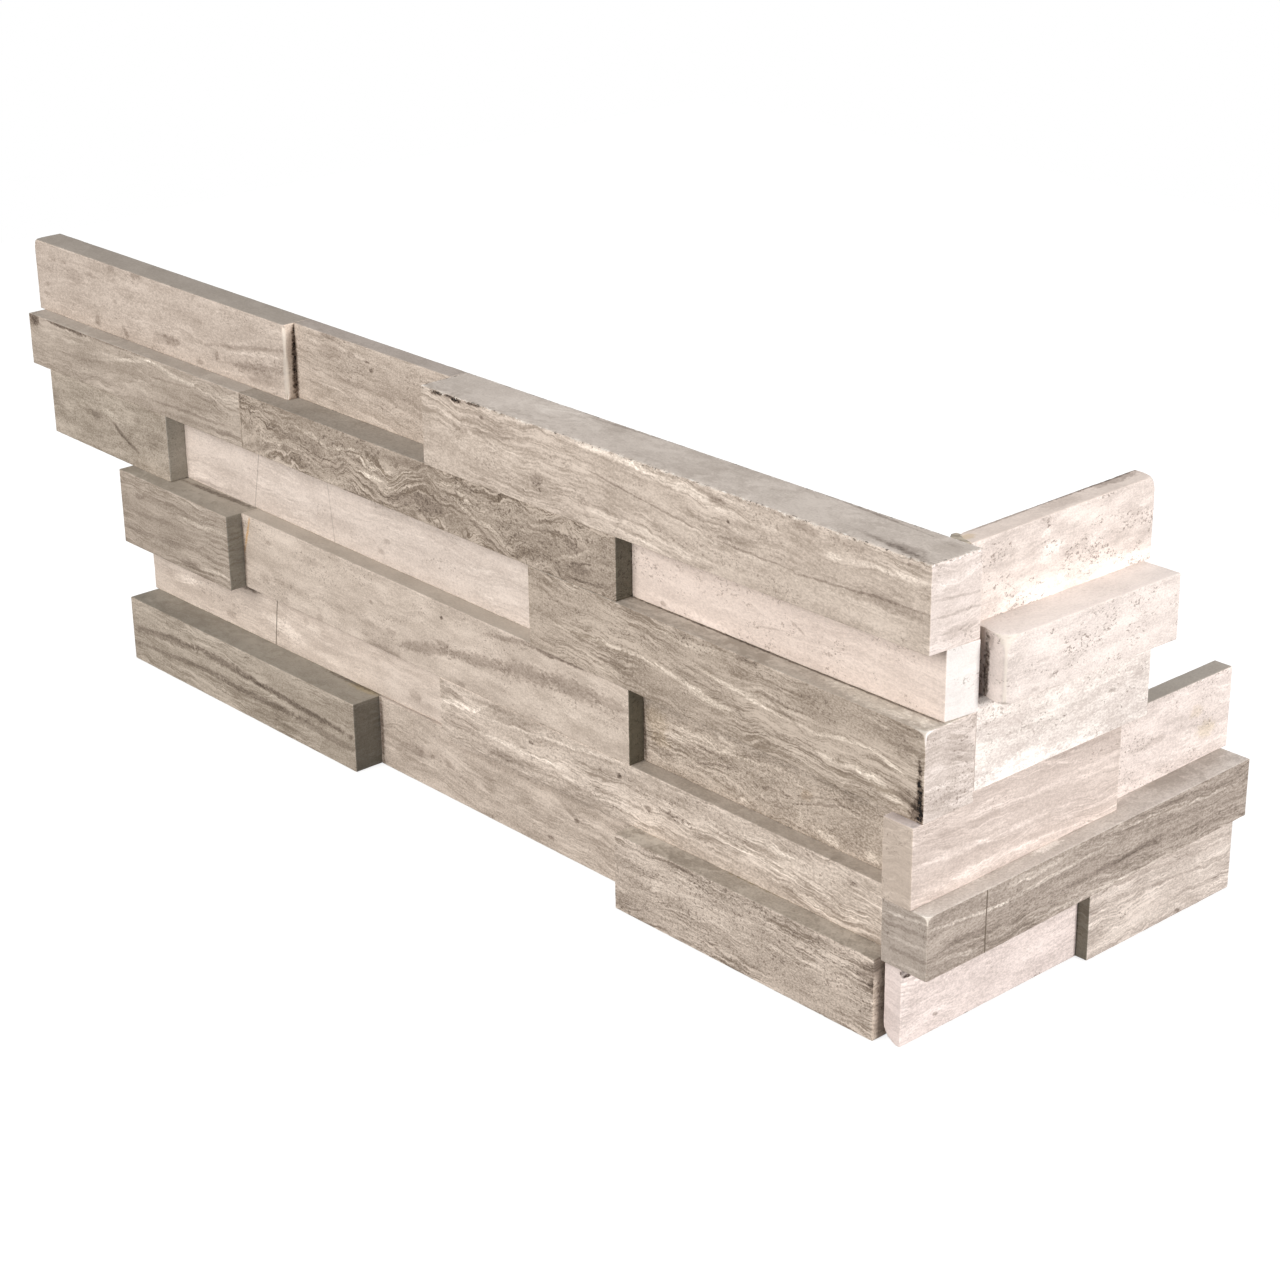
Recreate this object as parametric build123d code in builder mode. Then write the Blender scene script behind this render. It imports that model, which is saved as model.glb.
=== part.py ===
"""Ledger corner panel: sawn marble strips glued in six courses round an outside wall corner.

The wall's corner line is the Z axis. The long wing lies on the wall plane y = 0 and reaches
towards -X, the return wing lies on the wall plane x = 0 and reaches towards +Y, and both
wings stand on z = 0. A strip's thickness is how far its face stands off its wall plane.
"""
from build123d import *
import os

# Panel
panel_height = 152.4

# Beds of the long wing: the height under each row, at the wall's corner and at row 1's far end
row1_bed = (125.4, 124.5)
row2_bed = (103.1, 104.1)
row3_bed = (74.4, 78.6)
row4_bed = (47.8, 48.7)
row5_bed = (27.4, 25.4)

# Beds of the return wing: the height under each row, at the wall's corner and at row 6's far end
row1_return_bed = (127.8, 125.5)
row2_return_bed = (107.2, 103.9)
row3_return_bed = (77.8, 77.2)
row4_return_bed = (48.1, 49.6)
row5_return_bed = (27.3, 29.8)

# Reach of each row from the wall's corner to its far end, along the long wing
row1_reach = 468.9
row2_reach = 466.0
row3_reach = 454.0
row4_reach = 398.8
row5_reach = 399.5
row6_reach = 398.1

# Reach of each row from the wall's corner to its far end, along the return wing
row1_return_reach = 81.0
row2_return_reach = 78.2
row3_return_reach = 78.5
row4_return_reach = 128.0
row5_return_reach = 125.5
row6_return_reach = 129.0

# Lengths of the strips that end inside a row, counted from the row's far end
row1_end_length = 167.1
row1_middle_length = 88.4
row2_end_length = 144.0
row2_middle_length = 202.7
row3_end_length = 81.5
row3_middle_length = 210.6
row4_end_length = 71.5
row4_middle_length = 211.9
row5_end_length = 186.7
row6_end_length = 144.0
row6_middle_length = 139.2

# Lengths on the return wing, counted from the wall's corner
row4_corner_length = 67.4
row6_corner_length = 57.6

# How far a corner strip runs past the wall's corner, over the end of the other wing
row1_overrun = 11.4
row2_overrun = 11.2
row3_overrun = 12.2
row4_overrun = 24.7
row5_overrun = 24.2
row6_overrun = 22.2

# Thicknesses on the long wing
row1_end_thickness = 11.9
row1_middle_thickness = 7.3
row1_corner_thickness = 19.9
row2_end_thickness = 19.1
row2_middle_thickness = 19.1
row2_corner_thickness = 12.5
row3_end_thickness = 18.8
row3_middle_thickness = 11.0
row3_corner_thickness = 21.2
row4_end_thickness = 24.8
row4_middle_thickness = 18.1
row4_inner_thickness = 11.9
row5_end_thickness = 12.6
row5_middle_thickness = 17.9
row6_end_thickness = 25.1
row6_middle_thickness = 13.7
row6_inner_thickness = 25.5

# Thicknesses on the return wing
row1_return_thickness = 7.9
row2_return_thickness = 21.4
row3_return_thickness = 12.2
row4_corner_thickness = 11.6
row4_return_thickness = 6.9
row5_corner_thickness = 17.9
row6_corner_thickness = 6.6
row6_return_thickness = 11.0

# Open joints beside the corner, where a strip stops short of its neighbour
row2_return_gap = 1.6
row6_inner_gap = 1.3

# How far the row 3 corner strip's face runs out towards its inner end, to meet its neighbours flush
row3_corner_run_out = 1.9

# Edges
arris = 0.4
worn_radius = 3.0

# Chips along the front arris of the corner strips: distance from the strip's outer end,
# length along the arris and depth into the stone
row1_chips = [(6.0, 9.0, 0.9), (34.0, 14.0, 0.7), (66.0, 9.0, 0.6), (98.0, 12.0, 0.7), (196.0, 16.0, 0.8)]
row3_chips = [(8.0, 15.0, 1.9)]


def bed_height(bed, reach, distance):
    """Height of a bed at a distance from the wall's corner. Past the corner it runs level."""
    corner, end = bed
    return corner + (end - corner) * max(distance, 0) / reach


def outline(start, end, top, bottom, reach):
    """Face outline between two distances from the wall's corner, as (distance, height) points."""
    stations = [start, 0, end] if start < 0 < end else [start, end]
    lower = [(d, bed_height(bottom, reach, d)) for d in stations]
    upper = [(d, bed_height(top, reach, d)) for d in reversed(stations)]
    return lower + upper


def lay_strip(wall, corners, thickness):
    """Draws a strip's face on its wall plane and gives it its thickness."""
    with BuildSketch(wall, mode=Mode.PRIVATE) as face:
        with BuildLine():
            Polyline(*corners, close=True)
        make_face()
    extrude(face.sketch, amount=thickness)


def wing_strip(far, near, top, bottom, thickness):
    """A strip of the long wing, between two distances from the wall's corner."""
    points = [(-d, z) for d, z in outline(near, far, top, bottom, row1_reach)]
    lay_strip(Plane.XZ, points, thickness)


def return_strip(near, far, top, bottom, thickness):
    """A strip of the return wing, between two distances from the wall's corner."""
    lay_strip(Plane.YZ, outline(near, far, top, bottom, row6_return_reach), thickness)


def run_out(thin_end, thick_end, thickness, fall):
    """Planes the face of a long-wing strip down towards its thin end."""
    with BuildSketch(Plane.XY, mode=Mode.PRIVATE) as wedge:
        with BuildLine():
            Polyline((-thin_end, -thickness), (-thick_end, -thickness), (-thin_end, fall - thickness), close=True)
        make_face()
    extrude(wedge.sketch, amount=panel_height, mode=Mode.SUBTRACT)


def ease_arrises(strip):
    """Takes the sharp arris off every edge that isn't already rounded."""
    worn = [edge for face in strip.faces().filter_by(GeomType.CYLINDER) for edge in face.edges()]
    chamfer([edge for edge in strip.edges() if edge not in worn], arris)


def chip_arris(outer_end, front, top, chips):
    """Cuts shallow shell-shaped chips out of the top front arris of a long-wing strip."""
    for distance, length, depth in chips:
        radius = (length**2 / 4 + depth**2) / (2 * depth)
        stand_off = (radius - depth) / 2**0.5
        with Locations((outer_end - distance, -front - stand_off, top + stand_off)):
            Sphere(radius, mode=Mode.SUBTRACT)


def save(strip, name):
    """Labels a finished strip and writes it."""
    strip.part.label = name
    export_step(strip.part, f"parts/{name}.step")


os.makedirs("parts", exist_ok=True)
panel_top = (panel_height, panel_height)
panel_foot = (0.0, 0.0)

# Row 1, the top row: the corner strip runs over the wall's corner
row1_end_joint = row1_reach - row1_end_length
row1_corner_joint = row1_end_joint - row1_middle_length

with BuildPart() as row1_end_strip:
    wing_strip(row1_reach, row1_end_joint, panel_top, row1_bed, row1_end_thickness)
    worn_end = row1_end_strip.edges().filter_by(Axis.Z).group_by(Axis.Y)[0].sort_by(Axis.X)[-1]
    fillet(worn_end, worn_radius)
    ease_arrises(row1_end_strip)
save(row1_end_strip, "row1_end_strip")

with BuildPart() as row1_middle_strip:
    wing_strip(row1_end_joint, row1_corner_joint, panel_top, row1_bed, row1_middle_thickness)
    ease_arrises(row1_middle_strip)
save(row1_middle_strip, "row1_middle_strip")

with BuildPart() as row1_corner_strip:
    wing_strip(row1_corner_joint, -row1_overrun, panel_top, row1_bed, row1_corner_thickness)
    ease_arrises(row1_corner_strip)
    chip_arris(row1_overrun, row1_corner_thickness, panel_height, row1_chips)
save(row1_corner_strip, "row1_corner_strip")

with BuildPart() as row1_return_strip:
    return_strip(0, row1_return_reach, panel_top, row1_return_bed, row1_return_thickness)
    ease_arrises(row1_return_strip)
save(row1_return_strip, "row1_return_strip")

# Row 2: the corner strip runs over the wall's corner, and the return strip stops short of it
row2_end_joint = row2_reach - row2_end_length
row2_corner_joint = row2_end_joint - row2_middle_length

with BuildPart() as row2_end_strip:
    wing_strip(row2_reach, row2_end_joint, row1_bed, row2_bed, row2_end_thickness)
    ease_arrises(row2_end_strip)
save(row2_end_strip, "row2_end_strip")

with BuildPart() as row2_middle_strip:
    wing_strip(row2_end_joint, row2_corner_joint, row1_bed, row2_bed, row2_middle_thickness)
    ease_arrises(row2_middle_strip)
save(row2_middle_strip, "row2_middle_strip")

with BuildPart() as row2_corner_strip:
    wing_strip(row2_corner_joint, -row2_overrun, row1_bed, row2_bed, row2_corner_thickness)
    ease_arrises(row2_corner_strip)
save(row2_corner_strip, "row2_corner_strip")

with BuildPart() as row2_return_strip:
    return_strip(row2_return_gap, row2_return_reach, row1_return_bed, row2_return_bed, row2_return_thickness)
    near_edge = row2_return_strip.edges().filter_by(Axis.Z).group_by(Axis.X)[-1].sort_by(Axis.Y)[0]
    fillet(near_edge, worn_radius)
    ease_arrises(row2_return_strip)
save(row2_return_strip, "row2_return_strip")

# Row 3: the corner strip runs over the wall's corner
row3_end_joint = row3_reach - row3_end_length
row3_corner_joint = row3_end_joint - row3_middle_length

with BuildPart() as row3_end_strip:
    wing_strip(row3_reach, row3_end_joint, row2_bed, row3_bed, row3_end_thickness)
    ease_arrises(row3_end_strip)
save(row3_end_strip, "row3_end_strip")

with BuildPart() as row3_middle_strip:
    wing_strip(row3_end_joint, row3_corner_joint, row2_bed, row3_bed, row3_middle_thickness)
    ease_arrises(row3_middle_strip)
save(row3_middle_strip, "row3_middle_strip")

with BuildPart() as row3_corner_strip:
    wing_strip(row3_corner_joint, -row3_overrun, row2_bed, row3_bed, row3_corner_thickness)
    run_out(row3_corner_joint, -row3_overrun, row3_corner_thickness, row3_corner_run_out)
    ease_arrises(row3_corner_strip)
    chip_arris(row3_overrun, row3_corner_thickness, row2_bed[0], row3_chips)
save(row3_corner_strip, "row3_corner_strip")

with BuildPart() as row3_return_strip:
    return_strip(0, row3_return_reach, row2_return_bed, row3_return_bed, row3_return_thickness)
    ease_arrises(row3_return_strip)
save(row3_return_strip, "row3_return_strip")

# Row 4: the return's strip runs over the wall's corner, rebated where row 3 beds lower on it
row4_end_joint = row4_reach - row4_end_length
row4_inner_joint = row4_end_joint - row4_middle_length

with BuildPart() as row4_end_strip:
    wing_strip(row4_reach, row4_end_joint, row3_bed, row4_bed, row4_end_thickness)
    ease_arrises(row4_end_strip)
save(row4_end_strip, "row4_end_strip")

with BuildPart() as row4_middle_strip:
    wing_strip(row4_end_joint, row4_inner_joint, row3_bed, row4_bed, row4_middle_thickness)
    ease_arrises(row4_middle_strip)
save(row4_middle_strip, "row4_middle_strip")

with BuildPart() as row4_inner_strip:
    wing_strip(row4_inner_joint, 0, row3_bed, row4_bed, row4_inner_thickness)
    ease_arrises(row4_inner_strip)
save(row4_inner_strip, "row4_inner_strip")

with BuildPart() as row4_corner_strip:
    return_strip(-row4_overrun, row4_corner_length, row3_return_bed, row4_return_bed, row4_corner_thickness)
    with BuildSketch(Plane.YZ):
        with BuildLine():
            Polyline(
                (-row4_overrun, row3_bed[0]),
                (0, row3_bed[0]),
                (0, row3_return_bed[0]),
                (-row4_overrun, row3_return_bed[0]),
                close=True,
            )
        make_face()
    extrude(amount=row4_corner_thickness, mode=Mode.SUBTRACT)
    ease_arrises(row4_corner_strip)
save(row4_corner_strip, "row4_corner_strip")

with BuildPart() as row4_return_strip:
    return_strip(row4_corner_length, row4_return_reach, row3_return_bed, row4_return_bed, row4_return_thickness)
    ease_arrises(row4_return_strip)
save(row4_return_strip, "row4_return_strip")

# Row 5: the return's strip runs over the wall's corner
row5_end_joint = row5_reach - row5_end_length

with BuildPart() as row5_end_strip:
    wing_strip(row5_reach, row5_end_joint, row4_bed, row5_bed, row5_end_thickness)
    ease_arrises(row5_end_strip)
save(row5_end_strip, "row5_end_strip")

with BuildPart() as row5_middle_strip:
    wing_strip(row5_end_joint, 0, row4_bed, row5_bed, row5_middle_thickness)
    ease_arrises(row5_middle_strip)
save(row5_middle_strip, "row5_middle_strip")

with BuildPart() as row5_corner_strip:
    return_strip(-row5_overrun, row5_return_reach, row4_return_bed, row5_return_bed, row5_corner_thickness)
    ease_arrises(row5_corner_strip)
save(row5_corner_strip, "row5_corner_strip")

# Row 6, the bottom row: the return's strip runs over the wall's corner beside an open joint
row6_end_joint = row6_reach - row6_end_length
row6_inner_joint = row6_end_joint - row6_middle_length

with BuildPart() as row6_end_strip:
    wing_strip(row6_reach, row6_end_joint, row5_bed, panel_foot, row6_end_thickness)
    ease_arrises(row6_end_strip)
save(row6_end_strip, "row6_end_strip")

with BuildPart() as row6_middle_strip:
    wing_strip(row6_end_joint, row6_inner_joint, row5_bed, panel_foot, row6_middle_thickness)
    ease_arrises(row6_middle_strip)
save(row6_middle_strip, "row6_middle_strip")

with BuildPart() as row6_inner_strip:
    wing_strip(row6_inner_joint, row6_inner_gap, row5_bed, panel_foot, row6_inner_thickness)
    ease_arrises(row6_inner_strip)
save(row6_inner_strip, "row6_inner_strip")

with BuildPart() as row6_corner_strip:
    return_strip(-row6_overrun, row6_corner_length, row5_return_bed, panel_foot, row6_corner_thickness)
    ease_arrises(row6_corner_strip)
save(row6_corner_strip, "row6_corner_strip")

with BuildPart() as row6_return_strip:
    return_strip(row6_corner_length, row6_return_reach, row5_return_bed, panel_foot, row6_return_thickness)
    foot_of_end = row6_return_strip.edges().filter_by(Axis.X).group_by(Axis.Y)[-1].sort_by(Axis.Z)[0]
    fillet(foot_of_end, worn_radius)
    ease_arrises(row6_return_strip)
save(row6_return_strip, "row6_return_strip")
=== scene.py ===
import bmesh
import bpy
import numpy as np
from mathutils import Matrix, Vector, noise


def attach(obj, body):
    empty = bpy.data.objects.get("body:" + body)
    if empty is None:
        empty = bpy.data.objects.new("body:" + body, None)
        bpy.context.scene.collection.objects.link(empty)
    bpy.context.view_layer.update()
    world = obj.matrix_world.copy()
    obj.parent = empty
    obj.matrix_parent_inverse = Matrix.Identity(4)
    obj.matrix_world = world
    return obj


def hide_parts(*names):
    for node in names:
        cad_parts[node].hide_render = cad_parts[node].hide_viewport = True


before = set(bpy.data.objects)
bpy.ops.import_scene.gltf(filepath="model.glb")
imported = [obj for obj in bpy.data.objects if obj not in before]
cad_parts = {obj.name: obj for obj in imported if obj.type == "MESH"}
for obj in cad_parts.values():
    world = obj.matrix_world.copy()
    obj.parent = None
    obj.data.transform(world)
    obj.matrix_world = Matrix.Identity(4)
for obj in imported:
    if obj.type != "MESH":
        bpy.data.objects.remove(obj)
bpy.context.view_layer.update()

# Beds above and below each course, from the top, as (height at the wall's corner, height at the
# wing's far end) in millimetres
LONG_REACH = 468.9
RETURN_REACH = 129.0
LONG_BEDS = [
    (152.4, 152.4), (125.4, 124.5), (103.1, 104.1), (74.4, 78.6), (47.8, 48.7), (27.4, 25.4), (0, 0),
]
RETURN_BEDS = [
    (152.4, 152.4), (127.8, 125.5), (107.2, 103.9), (77.8, 77.2), (48.1, 49.6), (27.3, 29.8), (0, 0),
]


def srgb(r, g, b):
    """A colour as seen, 0 to 255, as the linear colour that the shader takes."""
    def channel(v):
        v = v / 255
        return v / 12.92 if v <= 0.04045 else ((v + 0.055) / 1.055) ** 2.4
    return (channel(r), channel(g), channel(b), 1.0)


def placed(name, data):
    """A new object in the scene."""
    thing = bpy.data.objects.new(name, data)
    bpy.context.scene.collection.objects.link(thing)
    return thing


def lattice(length, step):
    """Places across a side: close together at both arrises, a step apart between them."""
    rim = np.array([0, 0.22, 0.5, 0.95, 1.6])
    count = max(1, round((length - 2 * rim[-1]) / step))
    middle = np.linspace(rim[-1], length - rim[-1], count + 1)
    return np.concatenate([rim[:-1], middle, length - rim[:-1][::-1]])


def wavering(rng, length, pitch):
    """A smooth random curve between 0 and 1 along a length, as a function."""
    knots = np.arange(-pitch, length + 2 * pitch, pitch)
    values = rng.random(len(knots))

    def curve(x):
        i = np.clip(((x + pitch) / pitch).astype(int), 0, len(knots) - 2)
        f = np.clip((x - knots[i]) / pitch, 0, 1)
        f = f * f * (3 - 2 * f)
        return values[i] * (1 - f) + values[i + 1] * f
    return curve


def worn_arris(rng, length, rounding, chips, depth):
    """How far an arris is worn back along its length: a small rounding, with chips knocked out of it."""
    slow, quick = wavering(rng, length, 9.0), wavering(rng, length, 1.6)
    count = rng.poisson(chips * length / 10)
    centres = rng.random(count) * length
    spans = 0.5 + 2.6 * rng.random(count) ** 2
    depths = depth * (0.3 + 0.7 * rng.random(count) ** 2)

    def wear(x):
        r = rounding * (0.55 + 0.5 * slow(x) + 0.4 * quick(x))
        for c, span, d in zip(centres, spans, depths):
            r = np.maximum(r, d * (1 - ((x - c) / span) ** 2))
        return r
    return wear


# Mesh steps along, through and up a strip, and how far along it a slanting end fades out
STEP_ALONG, STEP_THROUGH, STEP_UP = 0.95, 1.7, 1.5
CUT_FADE = 15
EDGES = [(axis, a, b) for axis in range(3) for a in (0, 1) for b in (0, 1)]
EDGE_NAMES = {
    "back bottom": (0, 0, 0), "back top": (0, 0, 1), "front bottom": (0, 1, 0), "front top": (0, 1, 1),
    "near bottom": (1, 0, 0), "near top": (1, 0, 1), "far bottom": (1, 1, 0), "far top": (1, 1, 1),
    "near back": (2, 0, 0), "near front": (2, 0, 1), "far back": (2, 1, 0), "far front": (2, 1, 1),
}


def stone(name, wing, row, near, far, thickness, seed, run_out=0.0, rounding=0.32, chips=1.0, depth=0.55,
          arrises=None, corners=(), rebate=0.0, near_cut=()):
    """One sawn strip. near and far are distances from the wall's corner, in millimetres.

    near_cut says how far the near end is off, as (depth from the wall, distance) pairs."""
    rng = np.random.default_rng(seed)
    beds, reach = (LONG_BEDS, LONG_REACH) if wing == "long" else (RETURN_BEDS, RETURN_REACH)
    top_bed, low_bed = beds[row - 1], beds[row]

    def top(s):
        z = top_bed[0] + (top_bed[1] - top_bed[0]) * np.maximum(s, 0) / reach
        return z - rebate * (s < 0)

    def low(s):
        return low_bed[0] + (low_bed[1] - low_bed[0]) * np.maximum(s, 0) / reach

    length = far - near
    height = top_bed[0] - low_bed[0]
    s = near + lattice(length, STEP_ALONG)
    if rebate:
        s = np.sort(np.concatenate([s, [-0.01, 0.01]]))
    t = lattice(thickness, STEP_THROUGH) / thickness
    h = lattice(height, STEP_UP) / height
    shape = (len(s), len(t), len(h))
    i, j, k = np.indices(shape)
    skin = (i == 0) | (i == shape[0] - 1) | (j == 0) | (j == shape[1] - 1) | (k == 0) | (k == shape[2] - 1)
    number = np.full(shape, -1)
    number[skin] = np.arange(skin.sum())
    s, t, h = s[i[skin]], t[j[skin]], h[k[skin]]
    thick = thickness - run_out * (s - near) / length
    tall = top(s) - low(s)
    point = np.stack([s - near, t * thick, h * tall], 1)
    size = np.stack([np.full(len(s), length), thick, tall], 1)

    # Wear of each of the twelve arrises, blended where they meet
    total, weight = np.zeros(len(s)), np.zeros(len(s))
    nearest = np.full(len(s), 99.0)
    special = {EDGE_NAMES[n]: v for n, v in (arrises or {}).items()}
    extent = (length, thickness, height)
    for edge in EDGES:
        axis = edge[0]
        across = zip((n for n in range(3) if n != axis), edge[1:])
        gap = np.hypot(*(size[:, n] - point[:, n] if side else point[:, n] for n, side in across))
        wear = worn_arris(rng, extent[axis], *special.get(edge, (rounding, chips, depth)))(point[:, axis])
        w = 1 / (gap + 0.25) ** 4
        total += w * wear
        weight += w
        nearest = np.minimum(nearest, gap)
    radius = total / weight
    for corner, r, spread in corners:
        at = np.stack([np.where(c, size[:, n], 0) for n, c in enumerate(corner)], 1)
        away = np.linalg.norm(point - at, axis=1) / spread
        radius = np.maximum(radius, r * np.clip(1.35 - away, 0, 1))
    radius = np.minimum(radius, 0.48 * size.min(1))[:, None]
    heart = np.clip(point, radius, size - radius)
    out = point - heart
    away = np.maximum(np.linalg.norm(out, axis=1, keepdims=True), 1e-9)
    moved = heart + out / away * np.minimum(radius, away)
    removed = np.linalg.norm(moved - point, axis=1)

    s = near + moved[:, 0]
    if near_cut:
        depths, shifts = zip(*near_cut)
        s += np.interp(moved[:, 1], depths, shifts) * np.clip(1 - moved[:, 0] / CUT_FADE, 0, 1)
    z = low(point[:, 0] + near) + moved[:, 2]
    if wing == "long":
        place = np.stack([-s, -moved[:, 1], z], 1) / 1000
    else:
        place = np.stack([moved[:, 1], s, z], 1) / 1000

    quads = []
    for axis in range(3):
        for side in (0, 1):
            sheet = np.take(number, -1 if side else 0, axis=axis)
            q = np.stack([sheet[:-1, :-1], sheet[1:, :-1], sheet[1:, 1:], sheet[:-1, 1:]], -1).reshape(-1, 4)
            outward = side == (axis != 1)
            quads.append(q if outward == (wing == "long") else q[:, ::-1])
    quads = np.concatenate(quads)

    mesh = bpy.data.meshes.new(name)
    mesh.vertices.add(len(place))
    mesh.vertices.foreach_set("co", place.astype(np.float32).ravel())
    mesh.loops.add(quads.size)
    mesh.loops.foreach_set("vertex_index", quads.ravel().astype(np.int32))
    mesh.polygons.add(len(quads))
    mesh.polygons.foreach_set("loop_start", np.arange(0, quads.size, 4, dtype=np.int32))
    mesh.polygons.foreach_set("use_smooth", np.ones(len(quads), bool))
    mesh.update(calc_edges=True)
    mesh.validate()
    for label, values in (("arris", nearest), ("worn", removed)):
        mesh.attributes.new(label, "FLOAT", "POINT").data.foreach_set("value", values.astype(np.float32))
    piece = placed("stone_" + name, mesh)
    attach(piece, "root")
    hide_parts(name)
    return piece


class Tree:
    """A material's nodes, built one after the other."""

    def __init__(self, name):
        self.material = bpy.data.materials.new(name)
        self.material.use_nodes = True
        self.tree = self.material.node_tree
        self.shader = self.tree.nodes["Principled BSDF"]

    def put(self, socket, value):
        if isinstance(value, bpy.types.NodeSocket):
            self.tree.links.new(value, socket)
        elif value is not None:
            socket.default_value = value

    def math(self, operation, a, b=None, c=None):
        node = self.tree.nodes.new("ShaderNodeMath")
        node.operation = operation
        for socket, value in zip(node.inputs, (a, b, c)):
            self.put(socket, value)
        return node.outputs[0]

    def add(self, *terms):
        total = terms[0]
        for term in terms[1:]:
            total = self.math("ADD", total, term)
        return total

    def times(self, a, b):
        return self.math("MULTIPLY", a, b)

    def shade(self, colour, factor):
        """A colour made lighter or darker by a factor, and a little warmer as it darkens."""
        node = self.tree.nodes.new("ShaderNodeVectorMath")
        node.operation = "MULTIPLY"
        self.put(node.inputs[0], colour)
        if isinstance(factor, float):
            self.put(node.inputs[1], (factor, factor ** 1.09, factor ** 1.155))
        else:
            self.put(node.inputs[1], self.vector(factor, self.math("POWER", factor, 1.09),
                                                 self.math("POWER", factor, 1.155)))
        return node.outputs[0]

    def scaled(self, noise, amount):
        """A noise value of 0 to 1 as a swing of plus or minus an amount."""
        return self.math("MULTIPLY_ADD", noise, 2 * amount, -amount)

    def step(self, value, start, end, low=0.0, high=1.0):
        """A smooth change from low to high as a value goes from start to end."""
        node = self.tree.nodes.new("ShaderNodeMapRange")
        node.interpolation_type = "SMOOTHSTEP"
        keys = ("Value", "From Min", "From Max", "To Min", "To Max")
        for key, v in zip(keys, (value, start, end, low, high)):
            self.put(node.inputs[key], v)
        return node.outputs["Result"]

    def vector(self, x, y, z):
        node = self.tree.nodes.new("ShaderNodeCombineXYZ")
        for socket, value in zip(node.inputs, (x, y, z)):
            self.put(socket, value)
        return node.outputs[0]

    def noise(self, where, detail=2.0, roughness=0.5):
        node = self.tree.nodes.new("ShaderNodeTexNoise")
        node.inputs["Scale"].default_value = 1.0
        node.inputs["Detail"].default_value = detail
        node.inputs["Roughness"].default_value = roughness
        self.put(node.inputs["Vector"], where)
        return node.outputs["Fac"]

    def mix(self, share, a, b, blend="MIX"):
        node = self.tree.nodes.new("ShaderNodeMix")
        node.data_type = "RGBA"
        node.blend_type = blend
        self.put(node.inputs[0], share)
        self.put(node.inputs[6], a)
        self.put(node.inputs[7], b)
        return node.outputs[2]

    def tinted(self, colour, tint):
        return self.mix(1.0, colour, (*tint, 1), "MULTIPLY")

    def attribute(self, name):
        node = self.tree.nodes.new("ShaderNodeAttribute")
        node.attribute_name = name
        return node.outputs["Fac"]


# tone is the stone's mean colour as seen and swing how far its laminae stray from it; sway, wave
# and ripple are how far they bend, in millimetres, and pitch how often they wave along the strip.
# broad, fine, mottle and grain are how strong the wide and the thin laminae, the clouds and the
# grain are, pale and dark the single laminae, specks and crowd how dark and how close the pits are.
# flecks are pale crumbs and dark flecks along the arris at the height brim; top and end tint the sawn bed
# and the cut end, partly for their own greyer sawn stone and partly as painted light and shade, set per
# stone for how brightly each of these faces is lit.
LOOK = dict(
    tone=(190, 176, 160), swing=34, broad=0.6, fine=0.55, grain=1.0, sway=5.0, wave=1.0, pitch=0.045,
    ripple=0.7, tilt=0.0, pale=0.4, dark=0.4, mottle=1.0, specks=0.55, crowd=0.45, flecks=0.0, brim=152.4,
    rings=60, top=(0.94, 0.97, 1.02), end=(1.0, 1.0, 1.0),
)
CRACK, DARK_FLECK = srgb(92, 80, 66), srgb(96, 86, 76)
CHIP, CRUMB = srgb(222, 212, 200), srgb(232, 222, 210)


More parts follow.
